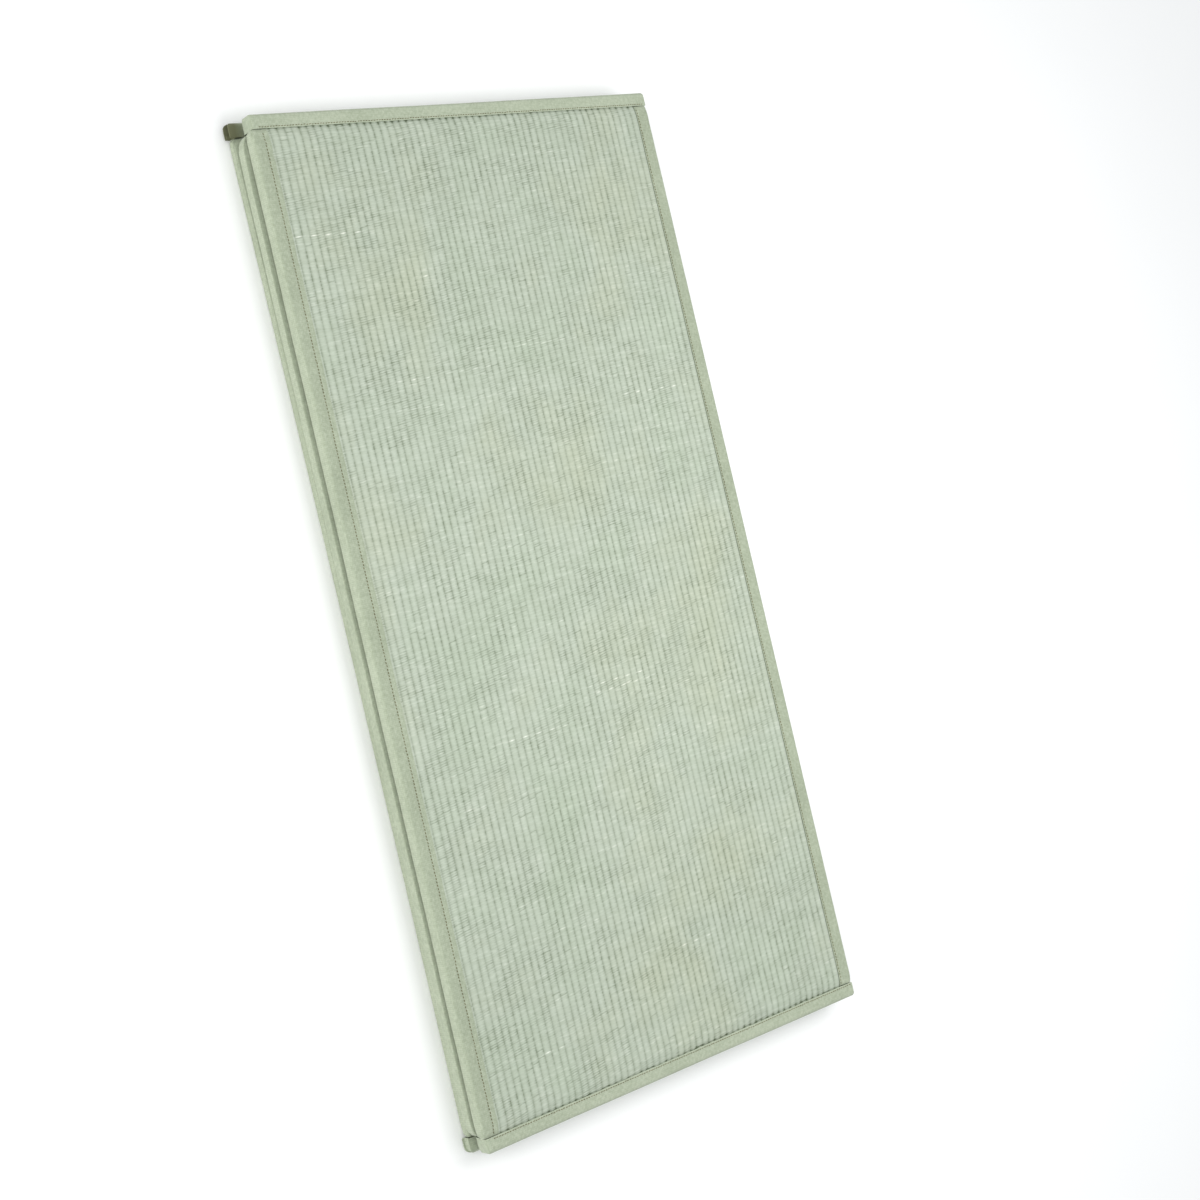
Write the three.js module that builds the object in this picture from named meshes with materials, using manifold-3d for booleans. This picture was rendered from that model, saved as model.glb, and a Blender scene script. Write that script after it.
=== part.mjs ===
// A rush mat that folds in three, lying folded on the floor with its rush face up.
// Millimetres, +Z up. X runs across the folded mat, Y along it, with the head at +Y.
import * as THREE from "three";
import Module from "manifold-3d";

// Folded size and layers
const WIDTH = 700; // across one panel, from fold to free end
const LENGTH = 1400; // along a panel, which is the width of the mat laid out flat
const PANEL = 18; // thickness of one panel
const LAYER_GAP = 0.6; // between the faces of two panels
const GAP = 0.3; // between a cloth and what it wraps
const CLOTH = 1.6; // a tape or band, hemmed double
const COVER = CLOTH + GAP;

// Bands and tapes
const BAND_COVER = 26; // how far a fold band reaches onto a panel's face
const TAPE_COVER = 23; // how far an end tape reaches onto a panel's face
const SIDE_COVER = 21; // how far a side tape reaches onto a panel's face
const SIDE_SUNK = 2.7; // how far a side tape lies below the face of the panel
const SIDE_TURN = 17; // width of the turn that a side tape makes round a fold
const CREASE = 18; // depth of the groove between two folded panels
const TAPE_END_OUT = 8; // how far the side tape sticks out past the bottom panel
const EDGE_ROUND = 5; // rounding of a panel's edge inside its cloth
const NECK = 0.7; // how far an edge draws in for each mm that its face dips

// Rush face
const RIBS = 55;
const RIB_GROOVE = 0.9;
const RIB_SHOULDER = 0.2; // share of a rib's width
const RIB_CROWN = 0.12; // how far a rib's middle stands above its shoulders

// The bottom panel lies a little askew, so its free end shows at the head only.
const ASKEW_HEAD = -6;
const ASKEW_FOOT = 4;

// How far each face dips towards the sewn end of a panel: distance from that end, and dip.
const END_DIP = [
  { from: 0, dip: 5.0 },
  { from: 3, dip: 4.6 },
  { from: SIDE_COVER, dip: 4.6 },
  { from: 26, dip: 2.2 },
  { from: 33, dip: 0.6 },
  { from: 46, dip: 0 },
];

// The left fold, from head to foot: rounding at its groove, and how far each edge bulges.
const LEFT_FOLD = [
  { y: 678.7, groove: 2.0, upper: 0, lower: 0 },
  { y: 674, groove: 3.6, upper: 0, lower: 0 },
  { y: 667, groove: 5.4, upper: 0.2, lower: 0.4 },
  { y: 654, groove: 6.8, upper: 0.4, lower: 0.9 },
  { y: 600, groove: 7.4, upper: 0.6, lower: 1.2 },
  { y: 470, groove: 6.4, upper: 0.2, lower: 0.8 },
  { y: 240, groove: 5.2, upper: 0, lower: 0.2 },
  { y: 0, groove: 4.4, upper: 0.5, lower: 0.3 },
  { y: -300, groove: 4.0, upper: 0.2, lower: 0 },
  { y: -560, groove: 3.8, upper: 0, lower: 0.4 },
  { y: -654, groove: 3.6, upper: 0, lower: 0 },
  { y: -667, groove: 3.2, upper: 0, lower: 0 },
  { y: -674, groove: 2.6, upper: 0, lower: 0 },
  { y: -678.7, groove: 2.0, upper: 0, lower: 0 },
];

// The right fold, in the same columns.
const RIGHT_FOLD = [
  { y: 678.7, groove: 2.0, upper: 0, lower: 0 },
  { y: 674, groove: 3.2, upper: 0, lower: 0 },
  { y: 667, groove: 4.2, upper: 0, lower: 0 },
  { y: 654, groove: 4.8, upper: 0, lower: 0 },
  { y: 350, groove: 4.6, upper: 0.4, lower: 0 },
  { y: -100, groove: 4.4, upper: 0, lower: 0.4 },
  { y: -450, groove: 4.8, upper: 0.3, lower: 0 },
  { y: -654, groove: 4.6, upper: 0, lower: 0 },
  { y: -667, groove: 4.0, upper: 0, lower: 0 },
  { y: -674, groove: 3.0, upper: 0, lower: 0 },
  { y: -678.7, groove: 2.0, upper: 0, lower: 0 },
];

// A side tape from its inner edge to its outer one: distance from the end, how far it is
// rounded off there, and how far its left corner at the foot is rounded in plan.
const SIDE_ROUND = [
  { from: SIDE_COVER, inset: 0.5, corner: 0 },
  { from: SIDE_COVER - 1, inset: 0, corner: 0 },
  { from: 11, inset: 0, corner: 0.6 },
  { from: 6, inset: 0.1, corner: 2.0 },
  { from: 2.5, inset: 0.7, corner: 3.6 },
  { from: 0.7, inset: 1.7, corner: 5.0 },
  { from: 0, inset: 2.6, corner: 6.0 },
];

// Each layer from the floor up, with the places of its left and right edges.
const BOTTOM = { low: 0, left: -WIDTH / 2, right: WIDTH / 2 - 2, skew: true };
const MIDDLE = { low: PANEL + LAYER_GAP, left: -WIDTH / 2, right: WIDTH / 2 - 2 };
const TOP = { low: 2 * (PANEL + LAYER_GAP), left: -WIDTH / 2, right: WIDTH / 2 };

const lerp = THREE.MathUtils.lerp;

function askew(layer, y) {
  if (!layer.skew) return 0;
  const shift = lerp(ASKEW_FOOT, ASKEW_HEAD, y / LENGTH + 0.5);
  return layer.mirror ? -shift : shift;
}

function endDip(y) {
  const from = LENGTH / 2 - Math.abs(y);
  const after = END_DIP.findIndex((row) => row.from >= from);
  if (after < 0) return 0;
  if (after === 0) return END_DIP[0].dip;
  const a = END_DIP[after - 1];
  const b = END_DIP[after];
  return lerp(a.dip, b.dip, (from - a.from) / (b.from - a.from));
}

// The box of a layer's outside at one place along the mat.
function outside(layer, y) {
  const dip = endDip(y);
  return {
    left: layer.left + askew(layer, y) + NECK * dip,
    right: layer.right + askew(layer, y) - NECK * dip,
    low: layer.low + dip,
    high: layer.low + PANEL - dip,
  };
}

// A closed outline with each corner, [x, z, radius], rounded by a curve of a few steps.
function rounded(corners, steps = 4) {
  const at = (i) => new THREE.Vector2(...corners.at(i % corners.length).slice(0, 2));
  return corners.flatMap(([, , radius], i) => {
    const corner = at(i);
    if (!radius) return [corner];
    const before = at(i - 1).sub(corner).setLength(radius).add(corner);
    const after = at(i + 1).sub(corner).setLength(radius).add(corner);
    return new THREE.QuadraticBezierCurve(before, corner, after).getPoints(steps);
  });
}

function mirrored(points) {
  return points.map((p) => new THREE.Vector2(-p.x, p.y)).reverse();
}

// A closed solid through outlines of equally many points, each standing at its own y.
function loft(stations) {
  const n = stations[0].outline.length;
  const position = stations.flatMap(({ y, outline }) => outline.flatMap((p) => [p.x, y, p.y]));
  const index = [];
  for (let s = 0; s + 1 < stations.length; s++) {
    for (let i = 0; i < n; i++) {
      const a = s * n + i;
      const b = s * n + ((i + 1) % n);
      index.push(a, b + n, b, a, a + n, b + n);
    }
  }
  const last = (stations.length - 1) * n;
  for (const [a, b, c] of THREE.ShapeUtils.triangulateShape(stations[0].outline, [])) {
    index.push(a, b, c);
  }
  for (const [a, b, c] of THREE.ShapeUtils.triangulateShape(stations.at(-1).outline, [])) {
    index.push(last + a, last + c, last + b);
  }
  const geometry = new THREE.BufferGeometry();
  geometry.setAttribute("position", new THREE.Float32BufferAttribute(position, 3));
  return geometry.setIndex(index);
}

// Places along a panel where its faces start or stop dipping.
function alongPanel(from) {
  const near = END_DIP.map((row) => row.from).filter((d) => d > from);
  const half = [from, ...near].map((d) => LENGTH / 2 - d);
  return [...half.map((y) => -y), ...half.toReversed()];
}

// A pad's outline: thinner where cloth covers its edges, ribbed where rush shows.
function padOutline(layer, y, leftCover, rightCover, ribs) {
  const o = outside(layer, y);
  const left = o.left + COVER;
  const right = o.right - COVER;
  const leftFace = layer.left + askew(layer, y) + leftCover + GAP;
  const rightFace = layer.right + askew(layer, y) - rightCover - GAP;
  const low = o.low + COVER;
  const high = o.high - COVER;
  const edge = Math.min(EDGE_ROUND + 1, 0.42 * (high - low));
  const pitch = (rightFace - leftFace) / RIBS;
  const face = [];
  for (let i = RIBS - 1; i >= 0 && ribs; i--) {
    const x = leftFace + i * pitch;
    const shoulder = o.high - RIB_CROWN;
    face.push([x + pitch * (1 - RIB_SHOULDER), shoulder, 0]);
    face.push([x + pitch / 2, o.high, 0]);
    face.push([x + pitch * RIB_SHOULDER, shoulder, 0]);
    if (i) face.push([x, o.high - RIB_GROOVE, 0]);
  }
  const sunk = ribs ? o.high - RIB_GROOVE : o.high;
  return rounded([
    [left, low, edge],
    [leftFace, low, 0],
    [leftFace, o.low, 0],
    [rightFace, o.low, 0],
    [rightFace, low, 0],
    [right, low, edge],
    [right, high, edge],
    [rightFace, high, 0],
    [rightFace, sunk, 0],
    ...face,
    [leftFace, sunk, 0],
    [leftFace, high, 0],
    [left, high, edge],
  ]);
}

function pad(layer, leftCover, rightCover, ribs) {
  return loft(
    alongPanel(COVER).map((y) => ({
      y,
      outline: padOutline(layer, y, leftCover, rightCover, ribs),
    })),
  );
}

// One cloth round the left edges of two layers, with a groove down to the crease between.
function bandOutline(upper, lower, cover, row) {
  const u = outside(upper, row.y);
  const l = outside(lower, row.y);
  const uLeft = u.left - row.upper;
  const lLeft = l.left - row.lower;
  const uFace = upper.left + askew(upper, row.y) + cover;
  const lFace = lower.left + askew(lower, row.y) + cover;
  const crease = Math.max(uFace, lFace) - cover + CREASE;
  const most = 0.42 * (u.high - u.low);
  const round = Math.min(EDGE_ROUND, most);
  const groove = Math.min(row.groove, most);
  const inner = (radius) => Math.max(radius - CLOTH, 0.4);
  return rounded([
    [uFace, u.high, 0.3],
    [uLeft, u.high, round],
    [uLeft, u.low, groove],
    [crease, u.low, 0.2],
    [crease, l.high, 0.2],
    [lLeft, l.high, groove],
    [lLeft, l.low, round],
    [lFace, l.low, 0.3],
    [lFace, l.low + CLOTH, 0.3],
    [lLeft + CLOTH, l.low + CLOTH, inner(round)],
    [lLeft + CLOTH, l.high - CLOTH, inner(groove)],
    [crease + CLOTH, l.high - CLOTH, 0.3],
    [crease + CLOTH, u.low + CLOTH, 0.3],
    [uLeft + CLOTH, u.low + CLOTH, inner(groove)],
    [uLeft + CLOTH, u.high - CLOTH, inner(round)],
    [uFace, u.high - CLOTH, 0.3],
  ]);
}

// A layer seen in a mirror, so that one set of outlines serves both sides.
function turned(layer) {
  return { ...layer, left: -layer.right, right: -layer.left, mirror: true };
}

function foldBandLeft() {
  return loft(
    LEFT_FOLD.toReversed().map((row) => ({
      y: row.y,
      outline: bandOutline(TOP, MIDDLE, BAND_COVER, row),
    })),
  );
}

function foldBandRight() {
  return loft(
    RIGHT_FOLD.toReversed().map((row) => ({
      y: row.y,
      outline: mirrored(bandOutline(turned(MIDDLE), turned(BOTTOM), BAND_COVER, row)),
    })),
  );
}

// A tape folded round the left edge of one layer.
function tapeOutline(layer, y) {
  const o = outside(layer, y);
  const face = layer.left + askew(layer, y) + TAPE_COVER;
  const round = Math.min(EDGE_ROUND, 0.42 * (o.high - o.low));
  const inner = round - CLOTH;
  return rounded([
    [face, o.high, 0.3],
    [o.left, o.high, round],
    [o.left, o.low, round],
    [face, o.low, 0.3],
    [face, o.low + CLOTH, 0.3],
    [o.left + CLOTH, o.low + CLOTH, inner],
    [o.left + CLOTH, o.high - CLOTH, inner],
    [face, o.high - CLOTH, 0.3],
  ]);
}

function endTape(layer, finish) {
  return loft(
    alongPanel(SIDE_COVER + GAP).map((y) => ({ y, outline: finish(tapeOutline(layer, y)) })),
  );
}

// The back-and-forth outline of a side tape over all three layers and round both folds.
function sideOutline(y, inset, corner) {
  const level = (layer) => ({
    low: layer.low + SIDE_SUNK + inset,
    high: layer.low + PANEL - SIDE_SUNK - inset,
  });
  const top = level(TOP);
  const middle = level(MIDDLE);
  const bottom = level(BOTTOM);
  const skew = askew(BOTTOM, y);
  const drawn = NECK * 4.6;
  const left = TOP.left + drawn - 0.2 + inset + corner;
  const creaseLeft = TOP.left + drawn + SIDE_TURN - inset;
  const right = MIDDLE.right - drawn + 0.2 - inset;
  const creaseRight = MIDDLE.right - drawn - SIDE_TURN + inset;
  const freeTop = TOP.right - inset;
  const freeBottom = BOTTOM.left + skew - TAPE_END_OUT + inset + corner / 3;
  const turn = 5;
  return rounded([
    [freeBottom, bottom.low, 2],
    [right + skew, bottom.low, turn],
    [right, middle.high, turn],
    [creaseLeft, middle.high, 2],
    [creaseLeft, top.low, 2],
    [freeTop, top.low, 1],
    [freeTop, top.high, 1],
    [left, top.high, turn],
    [left, middle.low, turn],
    [creaseRight, middle.low, 2],
    [creaseRight + skew, bottom.high, 2],
    [freeBottom, bottom.high, 2],
  ]);
}

const wasm = await Module();
wasm.setup();

function toSolid(geometry) {
  return new wasm.Manifold(
    new wasm.Mesh({
      numProp: 3,
      vertProperties: new Float32Array(geometry.getAttribute("position").array),
      triVerts: new Uint32Array(geometry.index.array),
    }),
  );
}

function toGeometry(solid) {
  const mesh = solid.getMesh();
  const geometry = new THREE.BufferGeometry();
  geometry.setAttribute("position", new THREE.BufferAttribute(mesh.vertProperties, 3));
  return geometry.setIndex(new THREE.BufferAttribute(mesh.triVerts, 1));
}

// The pocket in a side tape that takes the end of one panel.
function pocket(layer, end) {
  const inner = end * (LENGTH / 2 - SIDE_COVER);
  const from = outside(layer, inner);
  const to = outside(layer, end * (LENGTH / 2 - CLOTH));
  const left = Math.min(from.left, to.left) + CLOTH;
  const right = Math.max(from.right, to.right) - CLOTH;
  const low = from.low - GAP;
  const high = from.high + GAP;
  const long = SIDE_COVER - CLOTH + 2;
  const box = new THREE.BoxGeometry(right - left, long, high - low);
  const y = end * (LENGTH / 2 - CLOTH - long / 2);
  return toSolid(welded(box.translate((left + right) / 2, y, (low + high) / 2)));
}

// A box's eight corners, each used by all the faces that meet there.
function welded(box) {
  const old = box.getAttribute("position");
  const places = new Map();
  const position = [];
  const index = Array.from(box.index.array, (i) => {
    const p = [old.getX(i), old.getY(i), old.getZ(i)];
    const key = p.map((v) => v.toFixed(3)).join();
    if (!places.has(key)) {
      places.set(key, places.size);
      position.push(...p);
    }
    return places.get(key);
  });
  const geometry = new THREE.BufferGeometry();
  geometry.setAttribute("position", new THREE.Float32BufferAttribute(position, 3));
  return geometry.setIndex(index);
}

function sideTape(end) {
  const stations = SIDE_ROUND.map((row) => {
    const y = end * (LENGTH / 2 - row.from);
    const corner = end > 0 ? 0.25 * row.corner : row.corner;
    return { y, outline: sideOutline(y, row.inset, corner) };
  });
  stations.sort((a, b) => a.y - b.y);
  let solid = toSolid(loft(stations));
  for (const layer of [TOP, MIDDLE, BOTTOM]) solid = solid.subtract(pocket(layer, end));
  return toGeometry(solid);
}

const rush = new THREE.MeshStandardMaterial({ color: 0xc5cfbc, roughness: 0.75, metalness: 0 });
const cloth = new THREE.MeshStandardMaterial({ color: 0xafbfa3, roughness: 0.85, metalness: 0 });

const group = new THREE.Group();
group.name = "folded_tatami_mat";

function add(name, geometry, material) {
  const mesh = new THREE.Mesh(geometry, material);
  mesh.name = name;
  group.add(mesh);
}

add("panel_top", pad(TOP, BAND_COVER, TAPE_COVER, true), rush);
add("panel_middle", pad(MIDDLE, BAND_COVER, BAND_COVER, false), rush);
add("panel_bottom", pad(BOTTOM, TAPE_COVER, BAND_COVER, false), rush);
add("fold_band_left", foldBandLeft(), cloth);
add("fold_band_right", foldBandRight(), cloth);
add("end_tape_top", endTape(turned(TOP), mirrored), cloth);
add("end_tape_bottom", endTape(BOTTOM, (outline) => outline), cloth);
add("side_tape_head", sideTape(1), cloth);
add("side_tape_foot", sideTape(-1), cloth);

// The origin is under the middle of the folded mat, on the floor.
const box = new THREE.Box3().setFromObject(group);
const middle = box.getCenter(new THREE.Vector3());
for (const mesh of group.children) mesh.geometry.translate(-middle.x, -middle.y, -box.min.z);

export default group;
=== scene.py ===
# %% [markdown]
# # A rush mat that folds in three
# This lesson dresses a sleeping mat of woven rush. The mat lies folded back and forth on the
# floor: three padded panels, cloth bands where it folds, and cloth tape sewn round its edges.
# The solids are already there as a frame, in metres, with +Z up and the head of the mat at +Y.
# We load them first.

import math

import bpy
import numpy as np
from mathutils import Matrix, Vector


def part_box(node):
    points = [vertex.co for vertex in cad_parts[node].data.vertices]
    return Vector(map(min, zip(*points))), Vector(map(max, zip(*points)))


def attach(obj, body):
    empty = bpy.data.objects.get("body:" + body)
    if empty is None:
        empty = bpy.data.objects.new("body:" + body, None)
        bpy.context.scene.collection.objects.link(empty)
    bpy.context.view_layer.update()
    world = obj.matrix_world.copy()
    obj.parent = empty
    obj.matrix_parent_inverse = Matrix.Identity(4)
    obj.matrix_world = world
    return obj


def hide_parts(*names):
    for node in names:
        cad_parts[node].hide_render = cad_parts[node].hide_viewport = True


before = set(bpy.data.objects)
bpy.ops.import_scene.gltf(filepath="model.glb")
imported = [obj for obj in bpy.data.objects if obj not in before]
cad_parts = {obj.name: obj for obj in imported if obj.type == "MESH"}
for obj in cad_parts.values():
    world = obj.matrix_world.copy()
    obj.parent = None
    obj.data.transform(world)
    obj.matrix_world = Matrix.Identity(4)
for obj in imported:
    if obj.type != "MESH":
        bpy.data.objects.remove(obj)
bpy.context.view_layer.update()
print("solids:", sorted(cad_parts))

# %% [markdown]
# ## The sizes of the mat
# Every piece follows the same few sizes, in millimetres: the panel, how far each cloth reaches
# onto it, and how the faces dip towards the tape that is sewn tightly over the panel's ends.
# The bottom panel lies a little askew, so its free end peeps out near the head only.
# The solids were centred on the floor, so one offset moves our sizes onto them.

# %% Sizes in millimetres
WIDTH, LENGTH, PANEL, AIR = 700.0, 1400.0, 18.0, 0.6
LAYER = PANEL + AIR
CLOTH, SLACK = 1.6, 0.3
COVER = CLOTH + SLACK
# How far the bands, the end tapes and the side tapes reach onto a panel.
BAND_COVER, TAPE_COVER, SIDE_COVER = 26.0, 23.0, 21.0
# The side tapes lie a little below the faces, turn at the folds and stand out at a free end.
SIDE_SUNK, SIDE_TURN, TAPE_END_OUT = 1.7, 17.0, 4.0
CREASE, EDGE_ROUND = 18.0, 5.0
# The faces dip, and the long edges draw in, towards the sewn ends.
DIP, DIP_FROM, NECK = 3.8, 46.0, 2.6
# How far to the right the bottom panel lies, at these places along the mat.
ASKEW = {700: -6.0, 300: -2.0, 0: 0.4, -350: 1.8, -700: 2.2}
OFFSET = 1000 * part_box("end_tape_top")[1][0] - WIDTH / 2

# "necks" says how much of the draw-in the left and the right edge of a panel have.
BOTTOM = {"low": 0.0, "left": -350.0, "right": 348.0, "askew": 1, "necks": (1, 1)}
MIDDLE = {"low": LAYER, "left": -350.0, "right": 348.0, "askew": 0, "necks": (1, 1)}
TOP = {"low": 2 * LAYER, "left": -350.0, "right": 350.0, "askew": 0, "necks": (1, 0.2)}
rng = np.random.default_rng(7)


def dip_at(y):
    """How far a face lies below its full height, this far along the mat."""
    from_end = LENGTH / 2 - np.abs(y)
    near = np.clip((DIP_FROM - from_end) / (DIP_FROM - SIDE_COVER), 0, 1)
    return DIP * near**2.6


def between(table, y):
    """A value read off a small table of places along the mat."""
    places = sorted(table)
    return np.interp(y, places, [table[p] for p in places])


def neck_at(y):
    """How far a panel's long edges draw in where they enter the sewn tape."""
    from_end = LENGTH / 2 - np.abs(y)
    near = np.clip((SIDE_COVER + 4 - from_end) / 3.6, 0, 1)
    return NECK * near**2


def askew_at(layer, y):
    """How far to the right a panel lies, this far along the mat."""
    return layer["askew"] * between(ASKEW, y)


def outside(layer, y):
    """Left, right, low and high of a panel in its cloth, this far along the mat."""
    dip, neck, shift = dip_at(y), neck_at(y), askew_at(layer, y)
    left = layer["left"] + shift + neck * layer["necks"][0]
    right = layer["right"] + shift - neck * layer["necks"][1]
    return left, right, layer["low"] + dip, layer["low"] + PANEL - dip


print("offset of the solids in mm:", round(OFFSET, 2))

# %% [markdown]
# ## Small helpers for shaping a grid
# Cloth starts flat, so each piece here starts as Blender's grid primitive. A grid keeps its rows
# and columns when its points are moved, and its own UV map stays the flat cloth, which is handy
# for a weave later. Everything is deselected first, because operators act on what is selected.

# %% Grid helpers


def clear_selection():
    if bpy.context.mode != "OBJECT":
        bpy.ops.object.mode_set(mode="OBJECT")
    bpy.ops.object.select_all(action="DESELECT")


def pick(piece):
    clear_selection()
    piece.select_set(True)
    bpy.context.view_layer.objects.active = piece


def grid_piece(name, points):
    """A grid with its points at points[row, column] in millimetres on the mat."""
    rows, columns = points.shape[:2]
    clear_selection()
    bpy.ops.mesh.primitive_grid_add(x_subdivisions=columns - 1, y_subdivisions=rows - 1, size=2)
    piece = bpy.context.object
    piece.name = piece.data.name = name
    flat = np.empty(len(piece.data.vertices) * 3, np.float32)
    piece.data.vertices.foreach_get("co", flat)
    flat = flat.reshape(-1, 3)
    column = np.rint((flat[:, 0] + 1) / 2 * (columns - 1)).astype(int)
    row = np.rint((flat[:, 1] + 1) / 2 * (rows - 1)).astype(int)
    placed = (points[row, column] + [OFFSET, 0, 0]) / 1000
    piece.data.vertices.foreach_set("co", placed.astype(np.float32).ravel())
    piece.data.update()
    return piece, row, column


def apply_modifier(piece, kind, **settings):
    pick(piece)
    modifier = piece.modifiers.new(kind.title(), kind)
    for key, value in settings.items():
        setattr(modifier, key, value)
    bpy.ops.object.modifier_apply(modifier=modifier.name)


def edit(piece, *steps):
    """Runs edit-mode steps on the whole mesh of one piece."""
    pick(piece)
    bpy.ops.object.mode_set(mode="EDIT")
    bpy.ops.mesh.select_all(action="SELECT")
    for step in steps:
        step()
    bpy.ops.object.mode_set(mode="OBJECT")


def merge_doubles():
    bpy.ops.mesh.remove_doubles(threshold=1e-5)


def face_outwards():
    bpy.ops.mesh.select_all(action="SELECT")
    bpy.ops.mesh.normals_make_consistent(inside=False)


def fill_ends():
    bpy.ops.mesh.select_all(action="SELECT")
    bpy.ops.mesh.fill_holes(sides=0)


def smooth(piece, degrees=40):
    pick(piece)
    bpy.ops.object.shade_smooth_by_angle(angle=math.radians(degrees))


def triangles(piece):
    return sum(len(p.vertices) - 2 for p in piece.data.polygons)


def rounded(corners, steps, longest):
    """A curve for each corner (x, z, radius), and how often to cut the straight after it."""
    corners = np.array(corners, float)
    curved = []
    for before, here, after in zip(np.roll(corners, 1, 0), corners, np.roll(corners, -1, 0)):
        start = before[:2] - here[:2]
        end = after[:2] - here[:2]
        start = here[:2] + here[2] * start / np.linalg.norm(start)
        end = here[:2] + here[2] * end / np.linalg.norm(end)
        t = np.linspace(0, 1, steps + 1)[:, None]
        curved.append((1 - t) ** 2 * start + 2 * t * (1 - t) * here[:2] + t**2 * end)
    cuts = []
    for part, following in zip(curved, curved[1:] + curved[:1]):
        span = np.linalg.norm(following[0] - part[-1])
        cuts.append(max(1, math.ceil(span / longest)))
    return curved, cuts


def outline(corners, cuts, steps, longest, closed=True):
    """Points of a rounded outline. The same cuts give the same number of points.

    An open outline starts at its first corner and stops at its last one.
    """
    curved, own_cuts = rounded(corners, steps, longest)
    cuts = own_cuts if cuts is None else cuts
    if not closed:
        curved[0], curved[-1] = curved[0][-1:], curved[-1][:1]
    points = []
    for i, part in enumerate(curved):
        points.append(part)
        if closed or i + 1 < len(curved):
            following = curved[(i + 1) % len(curved)][0]
            t = np.linspace(0, 1, cuts[i] + 1)[1:-1, None]
            points.append((1 - t) * part[-1] + t * following)
    return np.concatenate(points), cuts


def loft_points(stations):
    """Rows of points from (y, outline) pairs, as one array of rows and columns."""
    rows = []
    for y, line in stations:
        rows.append(np.column_stack([line[:, 0], np.full(len(line), y), line[:, 1]]))
    return np.array(rows)


# %% [markdown]
# ## The pads inside
# Each panel is a pad about as thick as a finger. Its long edges are rounded inside the cloth, it
# is thinner where cloth covers it, and it thins out towards the sewn ends. A closed outline is
# carried along the mat, its seam is merged and both ends are filled, which makes one closed pad.

# %% Pads
# Under cloth a pad is slimmer and ends short of the edge, and its corners are tucked in.
PAD_SLIM, PAD_SHORT, PAD_TUCK = 5.0, 5.0, 12.0


def pad_outline(layer, y, left_cover, right_cover, lowered):
    left, right, low, high = outside(layer, y)
    shift = askew_at(layer, y)
    tucked = PAD_TUCK * np.clip((SIDE_COVER + 5 - (LENGTH / 2 - abs(y))) / 5, 0, 1)
    left_face = layer["left"] + shift + left_cover + 0.3
    right_face = layer["right"] + shift - right_cover - 0.3
    inner_low = min(low + PAD_SLIM, (low + high) / 2 - 1.2)
    inner_high = max(high - PAD_SLIM, (low + high) / 2 + 1.2)
    edge = 0.42 * (inner_high - inner_low)
    top = max(high - lowered, inner_high + 0.1)
    return [
        (left + PAD_SHORT + tucked, inner_low, edge),
        (left_face, inner_low, 0.2),
        (left_face, low, 0.2),
        (right_face, low, 0.2),
        (right_face, inner_low, 0.2),
        (right - PAD_SHORT - tucked, inner_low, edge),
        (right - PAD_SHORT - tucked, inner_high, edge),
        (right_face, inner_high, 0.1),
        (right_face, top, 0.1),
        (left_face, top, 0.1),
        (left_face, inner_high, 0.1),
        (left + PAD_SHORT + tucked, inner_high, edge),
    ]


def along_panel(inset, step):
    """Places along the mat, close together near its sewn ends."""
    half = LENGTH / 2 - inset
    near = np.array([0, 4, 9, 14, 19, 22, 25, 28, 32, 36, 41, 46])
    middle = np.linspace(-half + 52, half - 52, max(2, int((2 * half - 104) / step)))
    return np.concatenate([-half + near, middle, (half - near)[::-1]])


def make_pad(name, layer, left_cover, right_cover, lowered=0.0):
    cuts = None
    stations = []
    for y in along_panel(COVER, 60):
        corners = pad_outline(layer, y, left_cover, right_cover, lowered)
        line, cuts = outline(corners, cuts, steps=4, longest=60)
        stations.append((y, np.vstack([line, line[:1]])))
    piece = grid_piece(name, loft_points(stations))[0]
    edit(piece, merge_doubles, fill_ends, face_outwards)
    smooth(piece)
    return piece


pads = {
    "panel_top": make_pad("top_pad", TOP, BAND_COVER, TAPE_COVER, lowered=2.4),
    "panel_middle": make_pad("middle_pad", MIDDLE, BAND_COVER, BAND_COVER),
    "panel_bottom": make_pad("bottom_pad", BOTTOM, TAPE_COVER, BAND_COVER),
}
for node, piece in pads.items():
    print(piece.name, "stands for", node, "with", triangles(piece), "triangles")

# %% [markdown]
# ## The woven rush cover
# The face of the mat is a plain weave. Hidden strings run along the mat, and the rush crosses
# them: each stalk goes over one string and under the next. So the eye sees long ribs, with a
# groove between them, and in each rib short pieces of stalk laid like bricks. We could paint
# this, but real relief shades itself, so one fine grid holds it all: two columns to a rib, its
# groove and its crown, and one row to a stalk. A real stalk is a little thinner, and it is drawn
# this coarse to keep the grid small. The weave is not even: in some patches the stalks stand
# apart and show, in others they lie so close that the rib looks smooth. Two numbers are kept on
# each point for the finish: the tone of its stalk, and a level of painted light, low in the
# grooves, between the stalks and beside the tapes, where the finish paints shade on the weave.

# %% Rush cover
RIBS, STALK_STEP = 55, 1.6
GROOVE, VALLEY = 1.1, 0.8  # depth of the grooves, and of the gaps between stalks
PIECE_TONE, WEAVE_SEEDS = 0.05, (41, 42, 43, 44)
face_left = TOP["left"] + BAND_COVER - 1.2
face_right = TOP["right"] - TAPE_COVER + 0.5
first_groove = TOP["left"] + 29.4
rib_pitch = (face_right - 1.0 - first_groove) / RIBS

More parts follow.
